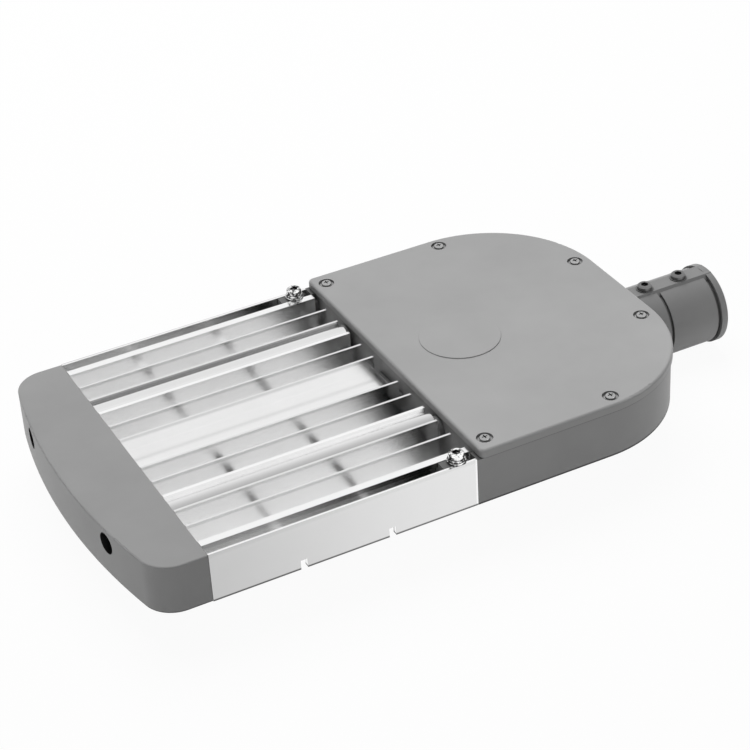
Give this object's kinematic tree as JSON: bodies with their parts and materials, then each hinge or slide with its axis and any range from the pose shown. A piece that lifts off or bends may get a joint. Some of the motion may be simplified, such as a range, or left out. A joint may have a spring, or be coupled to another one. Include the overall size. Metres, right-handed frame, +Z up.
{
  "type": "led street light head",
  "caption": "LED street light head with a finned aluminium heat sink, a flat driver housing and a clamped socket for a pole end.",
  "frame": {"origin": "centre of the pole socket's mouth, on the socket's axis", "axes": "+X out of the pole socket towards the pole, +Y across the head, +Z up, away from the lenses"},
  "size_m": [0.6213, 0.313, 0.0871],
  "materials": {
    "cast_paint": "fine satin powder coat",
    "sink_metal": "clear anodised",
    "zinc_steel": "zinc plated",
    "stainless": "plain stainless",
    "earth_brass": "plain",
    "black_rubber": "matt",
    "clear_lens": "polished",
    "white_board": "white solder mask",
    "phosphor": "yellow gel",
    "plug_plastic": "natural",
    "driver_case": "satin",
    "black_plastic": "matt",
    "lead_sheath": "matt"
  },
  "bodies": {
    "root": {"driver_housing": "cast_paint", "driver_cover": "cast_paint", "end_cap": "cast_paint", "socket_casting": "cast_paint", "heat_sink": "sink_metal", "clamp_screws": "zinc_steel", "clamp_washers": "zinc_steel", "spring_washers": "zinc_steel", "plate_screws": "zinc_steel", "driver_screws": "zinc_steel", "block_screws": "zinc_steel", "grip_screws": "zinc_steel", "driver_plate": "zinc_steel", "cover_screws": "stainless", "pole_screws": "stainless", "end_cap_screws": "stainless", "joint_screws": "stainless", "module_screws": "stainless", "socket_screws": "stainless", "earth_screw": "earth_brass", "cover_gasket": "black_rubber", "screw_seals": "black_rubber", "duct_seal": "black_rubber", "duct_plug": "black_rubber", "duct_grommet": "black_rubber", "cable_grommet": "black_rubber", "socket_seal": "black_rubber", "lens_gasket_1": "black_rubber", "lens_gasket_2": "black_rubber", "lens_gasket_3": "black_rubber", "lens_panel_1": "clear_lens", "lens_panel_2": "clear_lens", "lens_panel_3": "clear_lens", "led_board_1": "white_board", "led_board_2": "white_board", "led_board_3": "white_board", "led_chips_1": "phosphor", "led_chips_2": "phosphor", "led_chips_3": "phosphor", "board_plugs": "plug_plastic", "terminal_block": "plug_plastic", "led_driver": "driver_case", "surge_protector": "black_plastic", "cord_grip": "black_plastic", "lamp_lead": "lead_sheath", "supply_lead": "lead_sheath", "surge_lead": "lead_sheath"}
  },
  "joints": []
}
